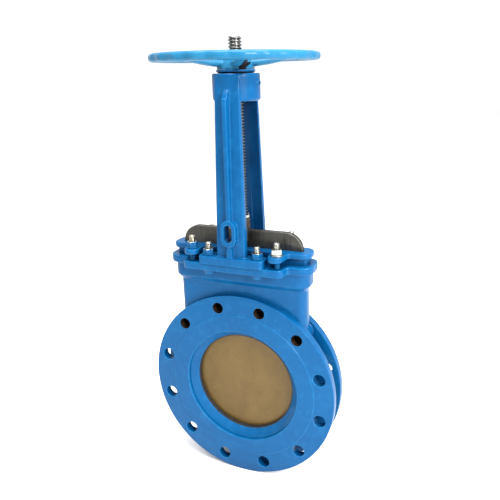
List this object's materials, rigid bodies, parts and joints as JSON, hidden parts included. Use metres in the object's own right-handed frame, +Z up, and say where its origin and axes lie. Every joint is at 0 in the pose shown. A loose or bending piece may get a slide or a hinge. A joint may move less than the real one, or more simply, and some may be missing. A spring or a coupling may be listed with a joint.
{
  "type": "knife gate valve",
  "caption": "Flanged knife gate valve with a flat sliding gate, packed gland, two-legged yoke, rising threaded stem and spoked handwheel, shown closed.",
  "frame": {"origin": "centre of the port, in the middle plane of the gate", "axes": "+X across the pipe to the right of the front flange, +Y along the pipe from the front flange to the rear one, +Z up the stem"},
  "size_m": [0.405, 0.32, 0.9105],
  "materials": {
    "body_paint": "blue enamel over a cast body",
    "yoke_paint": "blue enamel over a cast yoke",
    "wheel_paint": "blue enamel over a cast wheel",
    "gate_steel": "ground stainless plate with a warm film of preservative oil",
    "seat_rubber": "moulded black rubber",
    "packing": "braided graphite packing",
    "bronze": "machined bronze",
    "thrust_bronze": "oxidised bronze washer",
    "stem_steel": "oiled dark threaded steel",
    "clevis_steel": "dark cast steel",
    "zinc": "zinc plated"
  },
  "bodies": {
    "valve_body": {"body_casting": "body_paint", "gland": "body_paint", "gland_nut_front_left": "zinc", "gland_nut_front_right": "zinc", "gland_nut_rear_left": "zinc", "gland_nut_rear_right": "zinc", "gland_stud_front_left": "zinc", "gland_stud_front_right": "zinc", "gland_stud_rear_left": "zinc", "gland_stud_rear_right": "zinc", "gland_washer_front_left": "zinc", "gland_washer_front_right": "zinc", "gland_washer_rear_left": "zinc", "gland_washer_rear_right": "zinc", "packing_ring_1": "packing", "packing_ring_2": "packing", "packing_ring_3": "packing", "scraper_ring": "bronze", "seat_retainer_front": "body_paint", "seat_retainer_rear": "body_paint", "seat_seal_front": "seat_rubber", "seat_seal_rear": "seat_rubber", "thrust_washer_lower": "thrust_bronze", "thrust_washer_upper": "thrust_bronze", "yoke": "yoke_paint", "yoke_cap": "yoke_paint", "yoke_nut_front_left": "zinc", "yoke_nut_front_right": "zinc", "yoke_nut_rear_left": "zinc", "yoke_nut_rear_right": "zinc", "yoke_stud_front_left": "zinc", "yoke_stud_front_right": "zinc", "yoke_stud_rear_left": "zinc", "yoke_stud_rear_right": "zinc", "yoke_washer_front_left": "zinc", "yoke_washer_front_right": "zinc", "yoke_washer_rear_left": "zinc", "yoke_washer_rear_right": "zinc"},
    "spindle": {"handwheel": "wheel_paint", "stem_nut": "bronze", "wheel_key": "stem_steel", "wheel_nut": "zinc"},
    "gate_set": {"gate_plate": "gate_steel", "stem": "stem_steel", "stem_clevis": "clevis_steel", "stem_lock_nut": "zinc", "clevis_bolt_left": "clevis_steel", "clevis_bolt_right": "clevis_steel"}
  },
  "joints": [
    {"name": "handwheel_turn", "type": "hinge", "parent": "valve_body", "child": "spindle", "pos_m": [0, 0, 0.661], "axis": [0, 0, 1], "range_deg": [0, 14760]},
    {"name": "gate_lift", "type": "slide", "parent": "valve_body", "child": "gate_set", "axis": [0, 0, 1], "range_m": [0, 0.2461]}
  ],
  "couplings": [
    {"joint": "gate_lift", "follows": "handwheel_turn", "m_per_rad": 0.00095493}
  ]
}
